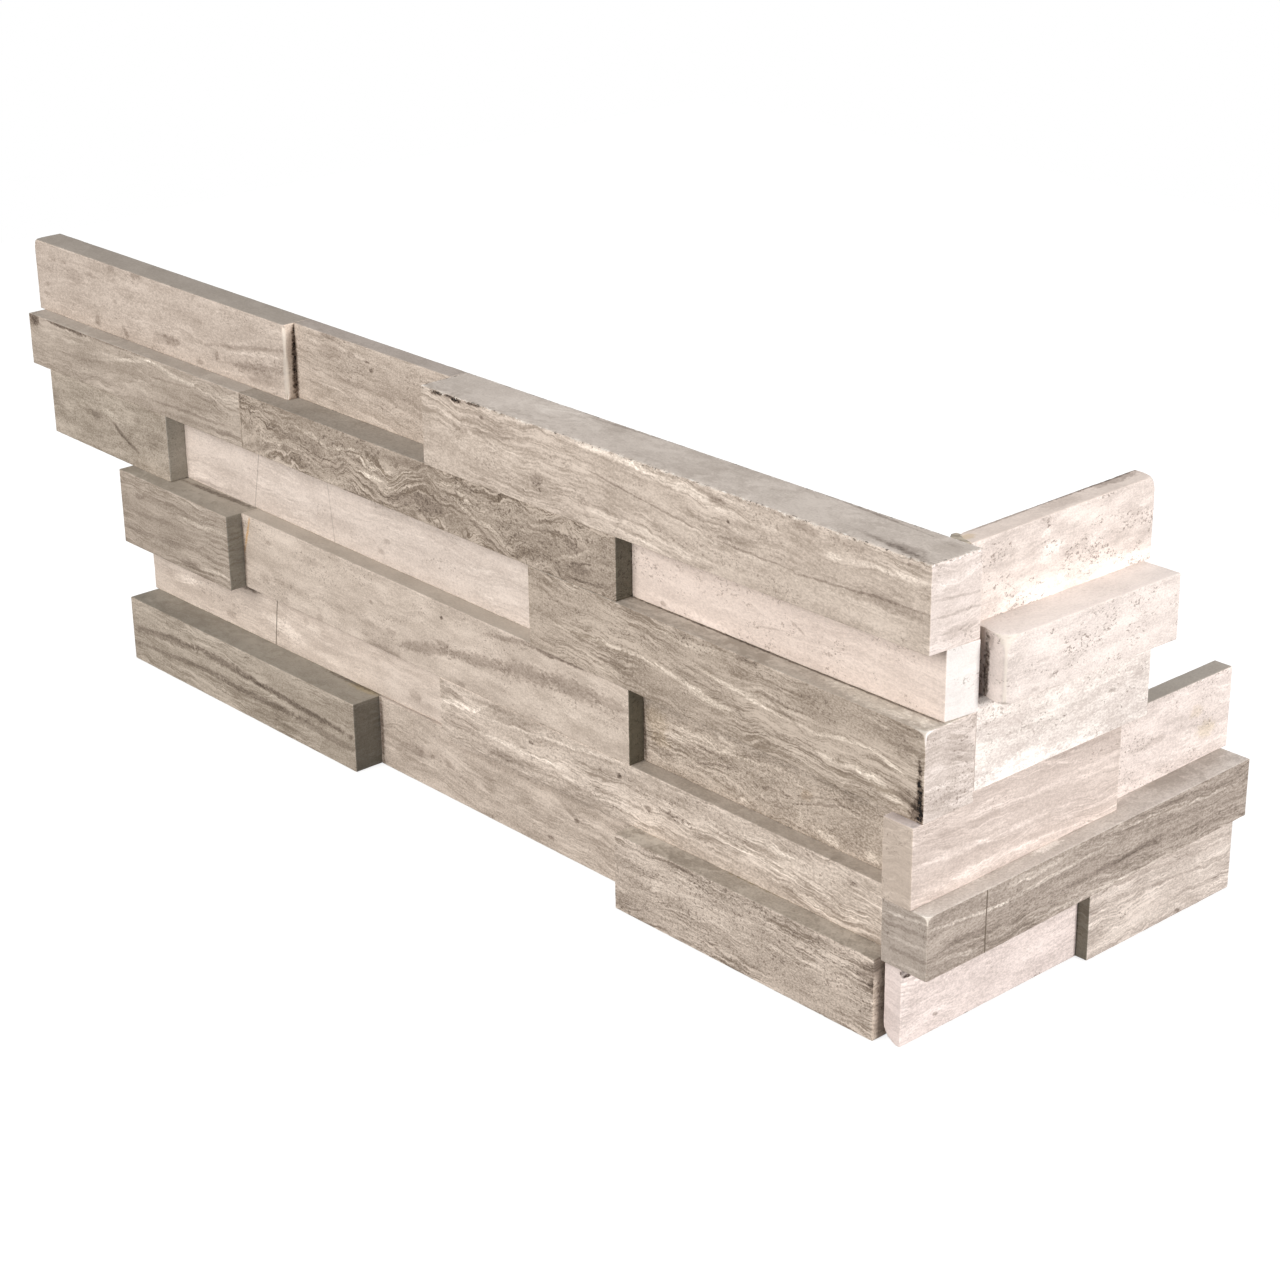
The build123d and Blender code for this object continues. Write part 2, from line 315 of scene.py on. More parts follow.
def marble(name, seed, made):
    """Sawn wood-vein marble: thin wavy laminae along the strip, with pits, stains and hairline cracks."""
    look = dict(LOOK, **made["look"])
    # The axis along the strip, the axis through it, and which way its face looks
    lengthways, through, outward = ("X", "Y", -1) if made["place"][0] == "long" else ("Y", "X", 1)
    dark = srgb(*(v - look["swing"] for v in look["tone"]))
    light = srgb(*(min(v + look["swing"], 250) for v in look["tone"]))
    m = Tree(name)
    nodes, links = m.tree.nodes, m.tree.links
    where = nodes.new("ShaderNodeTexCoord")
    apart = nodes.new("ShaderNodeSeparateXYZ")
    links.new(where.outputs["Object"], apart.inputs[0])
    facing = nodes.new("ShaderNodeSeparateXYZ")
    links.new(where.outputs["Normal"], facing.inputs[0])
    along = m.times(apart.outputs[lengthways], 1000)
    depth = m.times(apart.outputs[through], 1000)
    height = m.times(apart.outputs["Z"], 1000)
    rng = np.random.default_rng(seed)

    def field(x, y, z, detail=2.0, roughness=0.5, level=height):
        ox, oy, oz = (float(v) for v in rng.random(3) * 80)
        return m.noise(m.vector(m.math("MULTIPLY_ADD", along, x, ox), m.math("MULTIPLY_ADD", depth, y, oy),
                                m.math("MULTIPLY_ADD", level, z, oz)), detail, roughness)

    # The bedding: height, bent by long sways, waves and ripples
    sway = m.scaled(field(0.011, 0.02, 0.012, 1.0), look["sway"])
    wave = m.scaled(field(look["pitch"], 0.05, 0.05, 1.5), 3.2 * look["wave"])
    ripple = m.scaled(field(0.16, 0.2, 0.18, 3.0, 0.6), look["ripple"] * 2)
    level = m.add(height, m.times(along, look["tilt"]), sway, wave, ripple)

    broad = field(0.010, 0.02, 0.16, 3.0, 0.55, level)
    fine = field(0.025, 0.05, 0.70, 4.0, 0.62, level)
    hair = field(0.10, 0.14, 1.7, 2.0, 0.6, level)
    cloud = field(0.045, 0.07, 0.11, 6.0, 0.72)
    grain = field(1.2, 1.5, 2.0, 2.0, 0.65)
    calm = m.step(field(0.02, 0.04, 0.08, 2.0), 0.35, 0.65, 0.12, 1.2)
    veins = m.times(calm, m.add(m.scaled(fine, 0.75 * look["fine"]), m.scaled(hair, 0.7 * look["fine"])))
    thread = field(0.018, 0.04, 0.26, 2.0, 0.55, level)
    rings = m.math("SINE", m.add(m.times(thread, look["rings"]), m.times(hair, 3.0)))
    veins = m.add(veins, m.times(m.times(calm, rings), 0.065 * look["fine"]))
    tone = m.add(0.5, m.scaled(broad, 0.5 * look["broad"]), veins, m.scaled(cloud, 0.6 * look["mottle"]),
                 m.scaled(grain, 0.6 * look["grain"]))
    colour = m.mix(m.step(tone, -0.05, 1.05), dark, light)

    # Thin pale and dark laminae
    patch = field(0.03, 0.05, 0.06, 2.0, 0.5)
    for place, shade, amount in ((0.54, 1.4, look["pale"]), (0.47, 0.62, look["dark"]),
                                 (0.60, 1.3, look["pale"] * 0.8), (0.41, 0.68, look["dark"] * 0.8)):
        away = m.math("ABSOLUTE", m.math("SUBTRACT", thread, place))
        share = m.times(m.step(away, 0.024, 0.004), m.step(patch, 0.42, 0.62, 0.0, 0.9))
        colour = m.mix(m.times(share, amount), colour, m.shade(colour, shade))

    # Marks on the honed face, the end and the sawn top, each told by the way that it faces
    ragged = field(0.45, 0.5, 0.6, 4.0, 0.75)
    gritty = m.step(field(0.8, 0.9, 1.1, 2.0, 0.7), 0.38, 0.60, 0.72, 1.05)
    bend = m.add(height, m.times(ripple, 0.6), m.times(wave, 0.25))
    front = m.step(m.times(facing.outputs[through], outward), 0.5, 0.8)
    end = m.step(m.times(facing.outputs[lengthways], -outward), 0.5, 0.8)
    top = m.step(facing.outputs["Z"], 0.6, 0.95)
    faces = {"front": (m.vector(along, bend, 0.0), front), "end": (m.vector(depth, bend, 0.0), end),
             "top": (m.vector(along, depth, 0.0), top)}

    def oval(place, at, up, long, tall, angle, low, high):
        """A soft ragged patch on a face: high in its middle, low around it."""
        node = nodes.new("ShaderNodeMapping")
        node.vector_type = "TEXTURE"
        node.inputs["Location"].default_value = (at, up, 0)
        node.inputs["Rotation"].default_value = (0, 0, np.radians(angle))
        node.inputs["Scale"].default_value = (long, tall, 1)
        links.new(place, node.inputs["Vector"])
        size = nodes.new("ShaderNodeVectorMath")
        size.operation = "LENGTH"
        links.new(node.outputs[0], size.inputs[0])
        away = m.add(size.outputs["Value"], m.scaled(ragged, 1.1))
        return m.step(away, 1.25, 0.5, low, high)

    colour = m.mix(m.add(m.times(end, 0.45), m.times(top, 0.55)), colour, srgb(*look["tone"]))
    for face, (place, mask) in faces.items():
        total = 1.0
        for at, up, long, tall, shade, *lean in made.get(face, ()):
            angle = lean[0] if lean else 0
            if isinstance(shade, tuple):
                share = m.times(oval(place, at, up, long, tall, angle, 0.0, 1.0), mask)
                colour = m.mix(share, colour, m.tinted(colour, shade))
            else:
                total = m.times(total, oval(place, at, up, long, tall, angle, 1.0, shade))
        if total != 1.0:
            mask = m.times(mask, gritty)
            colour = m.shade(colour, m.math("MULTIPLY_ADD", mask, m.math("SUBTRACT", total, 1.0), 1.0))

    # Pits and dark specks, in clusters
    rarity = 0.70 - 0.4 * look["crowd"]
    cluster = m.step(field(0.05, 0.07, 0.10, 3.0, 0.6), rarity, rarity + 0.12)
    cluster = m.times(cluster, look["specks"])
    for at, up, long, tall, amount in made.get("pits", ()):
        share = m.times(oval(faces["front"][0], at, up, long, tall, 0, 0.0, amount), front)
        cluster = m.math("MAXIMUM", cluster, share)
    speck = field(0.75, 0.9, 1.1, 2.0, 0.8)
    holes = m.times(m.step(m.add(speck, m.times(cluster, 0.05)), 0.60, 0.66), cluster)
    holes = m.times(holes, m.math("SUBTRACT", 1.0, m.times(top, 0.8)))
    colour = m.shade(colour, m.math("MULTIPLY_ADD", holes, -0.62, 1.0))

    for at, up, lean, amount in made.get("cracks", ()):
        line = m.add(along, -at, m.times(m.math("SUBTRACT", height, up), -lean), m.scaled(ripple, 0.1))
        share = m.times(m.step(m.math("ABSOLUTE", line), 0.36, 0.10, 0.0, amount), front)
        colour = m.mix(share, colour, CRACK)

    # Worn arrises are paler, partly from wear and partly as a painted highlight, fresh chips palest; sawn
    # beds and tops are greyer than the honed face, and their tints and the end's also paint in each face's
    # light and shade
    arris, worn = m.attribute("arris"), m.attribute("worn")
    # Paler rims along the arrises: wear, with a painted highlight on them
    rim = m.times(m.step(arris, 0.9, 0.15), m.step(ragged, 0.35, 0.62))
    colour = m.mix(m.times(rim, 0.35), colour, m.tinted(colour, (1.22, 1.21, 1.19)))
    colour = m.mix(m.step(worn, 0.16, 0.45, 0.0, 0.65), colour, CHIP)
    fleck = field(0.55, 0.8, 0.9, 2.0, 0.75)
    beside = m.times(m.step(arris, 1.1, 0.5), m.step(height, look["brim"] - 1.6, look["brim"] - 0.9))
    beside = m.times(beside, look["flecks"])
    colour = m.mix(m.times(beside, m.step(fleck, 0.56, 0.64)), colour, CRUMB)
    colour = m.mix(m.times(beside, m.step(fleck, 0.42, 0.35)), colour, DARK_FLECK)
    # Top and end tints: the sawn stone's own colour together with painted light and shade for each face
    colour = m.mix(top, colour, m.tinted(colour, look["top"]))
    colour = m.mix(end, colour, m.tinted(colour, look["end"]))

    links.new(colour, m.shader.inputs["Base Color"])
    m.put(m.shader.inputs["Roughness"], m.step(fine, 0.2, 0.8, 0.52, 0.68))
    m.shader.inputs["Specular IOR Level"].default_value = 0.3
    bump = nodes.new("ShaderNodeBump")
    bump.inputs["Strength"].default_value = 0.4
    bump.inputs["Distance"].default_value = 0.00015
    relief = m.add(m.times(grain, 0.8), m.times(fine, 0.5), m.times(holes, -1.6))
    links.new(relief, bump.inputs["Height"])
    links.new(bump.outputs[0], m.shader.inputs["Normal"])
    return m.material


# Each stone's place is its wing, its course from the top, its near and far end as distances from the
# wall's corner, and its thickness. shape is what differs from a plain worn strip and look what
# differs from LOOK. Marks, pits and cracks stand at their own places, in millimetres in the wall's
# frame. front, end and top hold the marks on those faces, as (along, up, half length, half height,
# shade or tint), with the angle last where they lean. pits are (along, up, half length, half height,
# amount) and cracks (along, up, lean, amount).
STONES = {}

# Light beige and mottled, its inner front arris rounded
STONES["row1_end_strip"] = dict(
    place=("long", 1, 301.8, 468.9, 11.9),
    shape=dict(
        arrises={"near front": (2.6, 1, .8), "front top": (.4, 1.4, .6)}, corners=(((1, 1, 1), 1.2, 2.5),),
    ),
    look=dict(
        # The light end tint is a painted highlight on its rounded near end.
        tone=(196, 181, 168), end=(1.25, 1.25, 1.24), swing=29, fine=.35, broad=.4, mottle=.8, pale=.25,
        dark=.25, top=(.73, .76, .77),
    ),
    # The end mark is painted shadow in the step where the row 1 middle strip meets this end.
    end=[(-7.5, 138.9, 17.9, 1.5, .05, 88)],
    front=[
        (-397.1, 151.8, 4.7, 1.6, .66), (-413.8, 150.8, 2.8, 1.2, .77), (-455.5, 146.7, 2.2, 1.2, .77),
        (-448.1, 147, 2.9, .8, .78), (-428.8, 145.6, 2.1, 1.2, .77), (-461.2, 136, 1.5, .8, .74),
        (-440.1, 142.6, 6.4, 2.5, .86), (-375.1, 130.9, 5.9, 2, .61), (-382.6, 130.5, 6.7, 2.4, .83),
        (-406.7, 127.5, 2.9, 1.7, .65, -52), (-426, 128, 2.1, 2.1, .7), (-356.4, 127.3, 2.6, 1.2, .66),
        (-344.9, 131.7, 1.9, 1.6, .64), (-462.7, 131.7, 2.2, .8, .74), (-412.3, 138.7, 2.1, .8, .77),
        (-324.5, 139.2, 29, .9, .71, 9), (-319.7, 133, 22.8, 1.5, .69, 7), (-316.8, 129.7, 13.4, 3.1, .77),
        (-318.2, 137.8, 20, .9, 1.21, 8), (-329.5, 128.2, 15.9, .6, 1.15, 7),
    ],
)

# Beige with faint slanting streaks
STONES["row1_middle_strip"] = dict(
    place=("long", 1, 213.4, 301.8, 7.3),
    shape=dict(arrises={"front top": (.4, 1.4, .6)}),
    look=dict(tone=(190, 175, 161), swing=29, fine=.5, tilt=.06, grain=1.2, crowd=.6, top=(.84, .87, .92)),
    # The upright dark mark at its far end is painted shadow in the step beside the row 1 end strip's end.
    front=[
        (-281.7, 147.8, 7.5, 4.8, .82), (-281.9, 151.7, 4.6, 1.1, .66), (-269, 148.1, 2.8, 1.1, .71),
        (-259.3, 147.3, 1.2, .8, .32), (-257.3, 144.6, 1.2, .7, .37), (-302, 138.4, 16.5, 1.5, .29, -89),
        (-269.4, 137.6, 15, 1.2, .85, 1), (-242.8, 138.3, 15.1, 1.9, .86, -3),
        (-279.4, 125.6, 26.1, 2.7, 1.1, -5), (-253.1, 133.4, 7.8, 1.5, .86),
    ],
    pits=[(-247.6, 132.9, 8.8, 2.9, .6)],
)

# Light beige with long pale streaks; its top front arris is chipped all along
STONES["row1_corner_strip"] = dict(
    place=("long", 1, -11.4, 213.4, 19.9),
    shape=dict(
        near_cut=((0, -1), (19.9, 0)),
        arrises={"front top": (.6, 3.6, 2), "near front": (.4, 1.5, .7), "near top": (.4, 1.2, .6)},
    ),
    look=dict(
        tone=(194, 179, 165), end=(1.25, 1.3, 1.43), swing=31, fine=.85, tilt=.04, sway=8, pale=.5, dark=.5,
        flecks=.9, top=(1.04, 1.09, 1.15),
    ),
    front=[
        (-203.1, 151.7, 5.2, .8, .04, 4), (-195.3, 151.5, 3.8, .9, .04, -1), (-187.1, 151.8, 4.4, .7, .18),
        (-119.1, 151, 16.7, 1.1, 1.44, -1), (-89.6, 149.3, 21.2, 1.7, 1.4, -6),
        (-57.7, 146.1, 18.5, 1, 1.15, 2), (-25.4, 144.9, 3.1, 1.2, 1.44), (-3, 146.1, 17.2, 1, 1.28, 3),
        (-55.7, 135.4, 35.9, .8, 1.15, -1), (-97.7, 129.7, 22.7, 1.1, 1.18, -4),
        (-115.8, 143.5, 11.4, .8, 1.1, 5), (-119.3, 142.3, 16.9, .4, .61, -7), (-92, 139, 17.2, .4, .66, -6),
        (-58.3, 136.4, 19.3, .4, .64, -2), (-14.5, 136.8, 30.1, .5, .64, 3),
        (-2.3, 136.5, 15.9, 1.8, .79, -2), (-53.1, 153.4, 16.1, 2.7, .81), (-36.9, 150.1, 6.3, 1.8, .66),
        (-73.5, 148.7, 3.8, 1.6, .64), (-78.6, 151.3, 10.3, 2.2, .74, -22), (-19.3, 149.8, 8.4, 1.8, .79),
        (-155.6, 134.3, 2.9, 2.7, .69), (-182.2, 148.4, 1.5, .7, .49), (-68.4, 143.5, .8, .6, .28),
        (-175.7, 138.6, 22.2, 5.1, 1.12), (-172.8, 146.7, 19.6, 1.7, .92),
        (-183.3, 144.2, 25.1, .9, .89, -1), (-195.8, 144.9, 16, .7, 1.13), (-24.9, 133.8, 45, .5, 1.13),
        (-93.7, 127.5, 16.5, .8, 1.21, 1), (-7.4, 136.8, 15.1, 2.7, .91),
    ],
    end=[
        (-10.3, 146.1, 10.6, 1.6, 1.13, 8), (-9.2, 140.8, 11.8, .5, .79, -7), (-9, 136.1, 11.7, .5, .79, -3),
        (-9.2, 130.6, 8.1, 1.9, .82, 2),
    ],
    top=[
        (-2.6, -15.5, 7.8, 2.8, .62), (-64.5, 2.2, 12.9, 1, .32, -3), (-28.7, -1.4, 27.3, .7, .64, -4),
        (-123.7, -.5, 26.6, .9, .69, 4), (-161.5, -4.3, 22.9, 5.3, 1.1), (-4.4, -16.7, 14.8, 1.3, .57, -8),
        (-16.1, .8, 18.9, .8, .42), (5.4, -3.9, 4.3, 1.7, .83),
    ],
    pits=[(-154.7, 132.8, 3.4, 3, .95), (-161.2, 129.5, 2, 1.4, .9), (-50.9, 142.7, 8.1, 1.8, .6)],
)

# Nearly white, with clusters of dark specks and clean white clouds
STONES["row1_return_strip"] = dict(
    place=("return", 1, 0, 81, 7.9),
    shape=dict(
        near_cut=((0, 2.3), (7.9, .5)), arrises={"front top": (.4, 1.5, .7), "back top": (.3, 1.5, .6)},
        corners=(((1, 1, 1), 1.8, 3.2), ((0, 0, 1), 1.3, 3)),
    ),
    look=dict(
        tone=(218, 205, 197), crowd=.55, swing=24, fine=.15, mottle=1.8, specks=.8, pale=.1, dark=.1,
        top=(1.1, 1.08, 1.05),
    ),
    top=[
        (24.9, .4, 19.2, .7, .54, -1), (61.7, .2, 26.5, .9, .32), (69.4, 1.2, 12.2, 2.5, .59, 2),
        (43.5, 3, 9.6, 3.2, .81), (3.7, 3, 2.7, 2.1, (.89, .84, .72)),
    ],
    front=[
        (23.1, 130, 20.1, 3.2, 1.19), (59.9, 129.1, 25.6, 3.2, 1.17, -2), (34.9, 141.9, 5.3, 2.2, 1.24),
        (32.8, 147, 3, 1.2, 1.21), (54.6, 140.1, 4.5, 2.5, 1.24), (24, 137.7, 14.1, 1.5, .87, -7),
        (73.1, 143.4, 2.8, 1.6, .82),
    ],
    pits=[
        (16.4, 147.1, 2.5, 1.5, .9), (33.5, 149.3, 2.6, 1.5, .9), (41.7, 133.3, 4, 2.2, .9),
        (26.2, 135.1, 3, 1.2, .9), (43.9, 139.2, 2.7, 1.9, .9), (6.7, 140.4, 2.1, 1.5, .9),
        (9.4, 136.7, 3.4, 1.5, .8), (21.9, 128.3, 2.2, 1.3, .9), (56.9, 145.4, 5.4, 1.9, .9),
        (62.3, 140.3, 2.3, 1, .9), (8.1, 144.8, 3.4, 1.8, .7), (58.9, 132.4, 3.7, 1.3, .8),
    ],
)

# Taupe, with pale wavy lines and a dark stain on its top far corner
STONES["row2_end_strip"] = dict(
    place=("long", 2, 322, 466, 19.1),
    look=dict(
        tone=(176, 162, 148), swing=27, fine=.7, wave=1.6, sway=7, pale=.6, dark=.5, top=(1.15, 1.24, 1.33),
    ),
    front=[
        (-395.7, 120.2, 20.9, .8, 1.27, 12), (-366.8, 122.2, 17.2, 1.1, 1.44, -6),
        (-337.8, 120.6, 20.9, .8, 1.35, 4), (-381, 124, 14.9, .7, 1.23, 4), (-405, 119.7, 16.3, .7, 1.24, 4),
        (-426.2, 114.3, 22.6, 1, .84, 4), (-351.8, 119.7, 35.1, .6, .77, 4),
        (-351.5, 109.4, 32.9, .7, .69, 1), (-349.5, 106.4, 31.7, 1, .79, 2), (-437.4, 124.5, 17.1, 1.1, .32),
        (-404.8, 124.6, 25.1, .9, .57), (-462, 123.2, 3.7, 3, .28), (-395, 110.6, 17.4, 1.3, 1.1, 3),
    ],
    cracks=[(-321.4, 114.3, .041, .6)],
)

# Dark taupe, its laminae folded into zigzags, with a knot near the corner
STONES["row2_middle_strip"] = dict(
    place=("long", 2, 119.3, 322, 19.1),
    # The dark end tint is painted shade on its end, deep in the slot beside the row 2 corner strip.
    look=dict(
        tone=(163, 148, 133), end=(.52, .59, .58), swing=40, broad=.9, fine=1.5, grain=1, wave=3, pitch=.055,
        ripple=1.6, sway=7, pale=.7, dark=.7, mottle=.6, specks=.7, crowd=.7, top=(1.03, 1.12, 1.2),
    ),
    front=[
        (-277.8, 118.4, 10.2, 1, 1.4, -7), (-261.8, 118.6, 10.6, .7, 1.4, 9),
        (-248.4, 118.3, 7.8, 1.1, 1.4, -16), (-237.2, 117.5, 6.3, .9, 1.45, 6),
        (-228.4, 117.4, 8.5, .4, 1.57, 24), (-193.9, 118.4, 6.7, 1, 1.4, -28),
        (-202.1, 121, 6.3, .8, 1.45, 9), (-263.3, 105.5, 15.3, .9, 1.35, 6),
        (-193.9, 114.6, 8.2, .8, 1.48, -23), (-244.8, 113.5, 7, .8, 1.55), (-213.2, 110.2, 9.6, 3.6, .64),
        (-227.4, 109, 9.8, 2.6, .75), (-267.8, 112, 13.8, 3, .79), (-278, 115.7, 8.2, 3, .84),
        (-137.1, 109.5, 5.2, 2, .64), (-136.6, 112, 7.9, .5, .51, 13), (-135.4, 105.7, 13.1, .6, .64, 4),
        (-138.3, 116.9, 5.7, 1.7, .75), (-139.5, 113.7, 11.7, .5, 1.39, 28),
        (-183.4, 107.7, 10.3, .8, .64, -25), (-178.6, 110, 9.6, .8, 1.31, -25),
        (-160.4, 116.9, 18.6, .8, .83, 6), (-227.1, 122.6, 19.7, 1.8, .82, 3),
    ],
    pits=[(-145.6, 114.9, 19, 6.8, .5)],
    cracks=[(-321.4, 114.3, .041, .6)],
)

# Very light cream and nearly plain
STONES["row2_corner_strip"] = dict(
    place=("long", 2, -11.2, 119.3, 12.5),
    shape=dict(near_cut=((0, -1.5), (12.5, 0))),
    look=dict(
        tone=(228, 212, 201), end=(.99, 1.1, 1.19), swing=17, fine=.4, mottle=.8, pale=.2, dark=.2,
        specks=.6, crowd=.6,
    ),
    # Its first front mark, upright at its far end, is painted shadow beside the row 2 middle strip's end.
    front=[
        (-119.7, 111.8, 10.5, .8, .37, -89), (-104.9, 105.3, 1.4, 1, .66),
        (-98.4, 105.9, 12.6, 1.5, 1.12, -4), (-79.6, 104.2, 10.9, 1.5, 1.12, -6),
        (-58.2, 110.8, 9.5, .5, .79, 11), (-47, 114.8, 4.3, .5, .77, -32), (-79.5, 123.3, 4.3, 1, .92),
    ],
    pits=[(-15.5, 109, 2, 1.2, .8), (-29.5, 114.3, 3.2, 1.9, .6), (-45.7, 110.9, 32.1, 9.5, .25)],
)

# White to pink, speckled, its near end cut on the slant and worn at the corner
STONES["row2_return_strip"] = dict(
    place=("return", 2, 1.6, 78.2, 21.4),
    shape=dict(
        near_cut=((0, 1.2), (10.8, 1.2), (21.4, -.9)), arrises={"near front": (1.8, 1.2, 1.4)},
        corners=(((0, 1, 1), 3.4, 5.5), ((0, 1, 0), 1.8, 2.5)),
    ),
    look=dict(
        tone=(220, 208, 201), swing=26, fine=.2, mottle=1.5, specks=.8, crowd=.6, pale=.1, dark=.15,
        top=(1.18, 1.21, 1.22),
    ),
    # The first end mark is painted shadow in the gap behind the row 2 corner strip's end.
    end=[(13, 115.2, 13.3, 1.2, .14, 89), (14.6, 124.6, 1.4, 2.4, .71)],
    top=[(29.8, 5.3, 19.2, 1, (.84, .79, .58))],
    front=[(21.5, 111.6, 2.8, .7, .78, 23), (13.5, 108.8, 2.2, .9, .82), (17.6, 117.2, 2.7, .8, .84, 3)],
    pits=[
        (26.5, 119.7, 1.7, 1.6, .8), (15.7, 113.7, 3.5, .9, .9), (55.5, 115.7, 2.3, 1.6, .9),
        (33.3, 112.1, 3.1, 1.3, .9), (21.5, 111.9, 2.2, 1.6, .9), (20.1, 124.3, 1.7, 1.2, .9),
        (49.4, 122.4, 1.4, 1.3, .8), (11.3, 115.9, 4.3, 1.6, .7),
    ],
)

# Grey taupe and mottled, with one slanting scratch
STONES["row3_end_strip"] = dict(
    place=("long", 3, 372.5, 454, 18.8),
    look=dict(
        tone=(170, 157, 142), end=(1.14, 1.27, 1.37), swing=31, fine=.4, mottle=1.2, grain=1.1, pale=.25,
        dark=.3, specks=.5, crowd=.6,
    ),
    front=[
        (-431.8, 95.6, 4.3, 1.7, 1.24), (-411.1, 95, 6.1, 2, 1.28, -8), (-403.1, 94.3, 7.6, 1, 1.15, 6),
        (-420.8, 92.1, 6.4, 3.4, .79), (-422.1, 93, 3.6, 1.7, .7), (-405.6, 89.7, 6.4, 1.1, .49, -29),
        (-397.4, 85.8, 4.8, .9, .49, -20), (-392.5, 97.6, 2.8, 1.6, .8), (-449, 90.4, 4.4, 3.4, .89),
        (-452.1, 93.8, 3, 2.6, .86), (-384.4, 91.6, 8.2, 4.1, .91),
    ],
    pits=[(-412.8, 88.7, 34.7, 12.7, .4)],
)

# Very light cream with faint streaks, a grey cloud and hairline cracks
STONES["row3_middle_strip"] = dict(
    place=("long", 3, 161.9, 372.5, 11),
    look=dict(
        tone=(217, 203, 192), swing=20, fine=.5, mottle=.9, pale=.3, dark=.25, specks=.5, crowd=.4,
        tilt=-.02,
    ),
    # Its first front mark, upright at its far end, is painted shadow beside the row 3 end strip's end.
    front=[
        (-374.5, 88, 13.2, .9, .59, 89), (-278.4, 84.6, 15.2, 3.1, .85), (-196.7, 89.5, 27.2, .9, 1.12, 8),
        (-194.2, 80.9, 5.2, 1, 1.15, -8), (-248.1, 85.4, 2.3, 1.1, .7), (-251.9, 81, 1.7, 1.1, .73),
        (-351.8, 86.6, 26.5, .9, .92), (-354.3, 79, 20.7, .8, .89, 4),
    ],
    pits=[(-209.7, 96.6, 2.7, 1.5, .8), (-218.5, 85.5, 16.1, 3, .5)],
    cracks=[(-326.3, 87.5, .217, .35), (-281.2, 92.5, -.125, .3)],
)

# Taupe, streaked and speckled; chipped and stained black at the corner
STONES["row3_corner_strip"] = dict(
    place=("long", 3, -12.2, 161.9, 21.2),
    shape=dict(
        run_out=1.9, arrises={"front top": (.4, 2, 1), "near front": (.5, 3, 1.2), "near top": (.5, 2, 1)},
        corners=(((0, 1, 1), 1.8, 5),),
    ),
    look=dict(
        tone=(173, 158, 143), end=(1.36, 1.43, 1.6), swing=34, fine=1.4, grain=1.1, wave=1.4, tilt=.05,
        pale=.6, dark=.5, mottle=1.1, specks=.6, crowd=.6, top=(1.1, 1.19, 1.27),
    ),
    front=[
        (-125.4, 87.8, 24.1, .9, 1.35, 1), (-95.1, 87.7, 14.6, .9, 1.35, -5),
        (-75, 84.4, 11.5, 1.5, 1.48, -8), (-66.4, 91.8, 16.7, .8, 1.43, -8), (-88.6, 99.6, 11, .7, 1.27, -4),
        (-18.4, 90.3, 12.3, .7, 1.35, 6), (-2.3, 89.5, 9.1, .9, 1.35, -17),
        (-19.8, 82.9, 12.4, 1.1, 1.35, 2), (-2.4, 79.9, 12.8, 1.8, 1.48, -18),
        (-43.1, 89.3, 13.4, .6, 1.27, -2), (-49.9, 91.9, 15.6, .6, 1.24, -1),
        (-115.9, 99, 11.5, .7, 1.19, -2), (-43.9, 90.6, 8.9, .6, .7, -22), (-61, 102.2, 4.5, .7, .53, -3),
        (-6.4, 91.4, 13.4, .6, .73, -6), (10.6, 83.2, 1.3, 8, .01), (11.2, 78.1, 1.5, 3.7, .01),
        (9.3, 78, 2.3, 4.3, .16), (10.3, 91.5, .8, 3.1, .16), (5.8, 79.9, 3.1, 3.1, .69),
        (4.1, 96.5, 3.8, 4.3, .84), (-79.8, 100.5, 10.9, 1.1, 1.18, 2),
    ],
    end=[
        (-9.4, 84.4, 11.5, .8, 1.21, -2), (-10, 80.2, 12.5, .8, .82, -1), (-8.7, 93.8, 6.1, 3.2, .84),
        (-11, 99.2, 10.3, .6, 1.1, 3),
    ],
    # The first top mark is painted shadow along the foot of the row 2 corner strip.
    top=[(-54.6, -12.7, 80.8, .7, .28), (-11.3, -15.6, 22.2, 3.8, 1.51, -3)],
    pits=[
        (-84.1, 100.9, 11.4, 3.3, .8), (-59.1, 102.5, 3.8, 1.3, .9), (-54, 100.2, 5, 2.2, .8),
        (-106.7, 94.7, 10.9, 2.7, .7), (-29.3, 97.9, 15.9, 4.4, .6), (-144.6, 93.5, 11.6, 4.2, .6),
        (-37.2, 82.5, 16.3, 3.2, .5),
    ],
)

# White, with specks and a brighter foot
STONES["row3_return_strip"] = dict(
    place=("return", 3, 0, 78.5, 12.2),
    look=dict(
        tone=(224, 211, 204), mottle=1.5, swing=31, fine=.25, tilt=.1, specks=.6, crowd=.55, pale=.15,
        dark=.15,
    ),
    front=[
        (15.3, 79.8, 16.8, 4.6, 1.24), (42.6, 79.3, 17, 1.7, 1.12, -2), (51.5, 79.7, 4.6, 1, .84),
        (24.9, 90.9, 15.1, .8, .89, -4), (46.1, 92.1, 17, .6, .89, -3), (60.8, 91.1, 1.9, .7, .66),
    ],
    pits=[
        (39, 88.8, 2.7, 1.3, .9), (11.4, 99, 1.7, 1, .8), (65.1, 84.9, 3.8, 2, .7),
        (57.7, 88.8, 2.8, 1.3, .7), (69.4, 88.5, 3.8, 2, .7), (6.4, 89, 4.3, 1.9, .6),
        (76, 94.7, 4.8, 2.7, .6),
    ],
)

